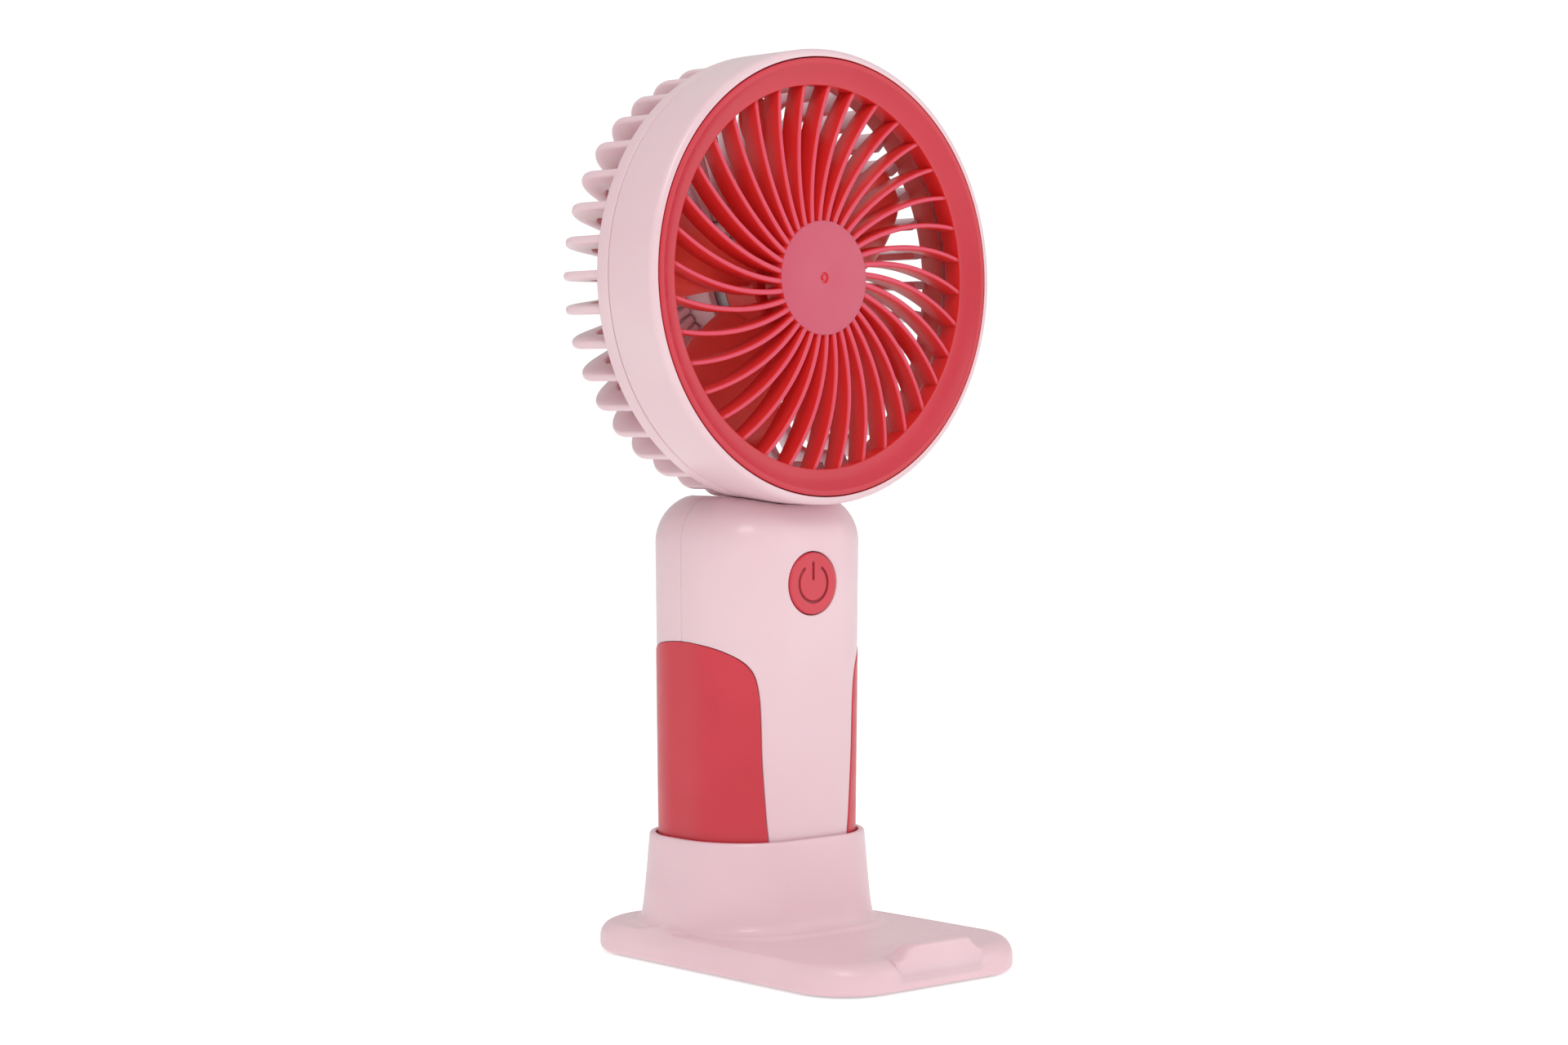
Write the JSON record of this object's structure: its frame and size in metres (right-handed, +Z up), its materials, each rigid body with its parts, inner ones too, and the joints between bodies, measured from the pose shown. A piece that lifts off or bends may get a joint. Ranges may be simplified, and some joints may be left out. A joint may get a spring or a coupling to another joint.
{
  "type": "handheld electric fan",
  "caption": "Handheld electric fan with a round grille head, a gripped battery handle and a push button, standing in the cup of a phone-rest base.",
  "frame": {"origin": "on the underside of the base's non-slip pad, straight below the handle's axis", "axes": "+Z up along the handle, -Y the way the air blows, +X to the right seen from the front"},
  "size_m": [0.1, 0.089, 0.202],
  "materials": {
    "pink_shell": "satin moulded ABS",
    "coral_shell": "satin moulded ABS",
    "button": "satin moulded ABS with an engraved symbol",
    "base_shell": "satin moulded ABS",
    "steel": "plated",
    "brass": "plain",
    "magnet": "dark ferrite",
    "winding": "enamelled copper wire",
    "black_plastic": "fine moulded grain",
    "wire_insulation": "soft PVC",
    "board": "solder mask",
    "cell_sleeve": "shrink sleeve",
    "pad": "matt foam rubber"
  },
  "bodies": {
    "base": {"base_shell": "base_shell", "base_plate": "base_shell", "non_slip_pad": "pad", "base_screws": "steel"},
    "fan": {"front_ring": "pink_shell", "front_grille": "coral_shell", "rear_grille": "pink_shell", "motor_can": "steel", "motor_end_cap": "black_plastic", "motor_magnets": "magnet", "motor_bushes": "brass", "motor_terminals": "brass", "motor_screws": "steel", "motor_leads": "wire_insulation", "handle_front": "pink_shell", "handle_back": "pink_shell", "left_grip": "coral_shell", "right_grip": "coral_shell", "switch_housing": "black_plastic", "circuit_board": "board", "board_components": "black_plastic", "usb_socket": "steel", "usb_tongue": "black_plastic", "battery_cell": "cell_sleeve", "battery_tabs": "steel", "battery_leads": "wire_insulation", "handle_screws": "steel", "board_screws": "steel"},
    "rotor": {"impeller": "coral_shell", "motor_shaft": "steel", "motor_armature": "winding"},
    "button": {"power_button": "button", "switch_plunger": "black_plastic"}
  },
  "joints": [
    {"name": "fan_lift", "type": "slide", "parent": "base", "child": "fan", "axis": [0, 0, 1], "range_m": [0, 0.08]},
    {"name": "impeller_spin", "type": "hinge", "parent": "fan", "child": "rotor", "pos_m": [0, 0, 0.152], "axis": [0, -1, 0], "continuous": true},
    {"name": "button_press", "type": "slide", "parent": "fan", "child": "button", "axis": [0, 1, 0], "range_m": [0, 0.0006], "stiffness_N_per_m": 500, "springref_m": -0.0004}
  ]
}
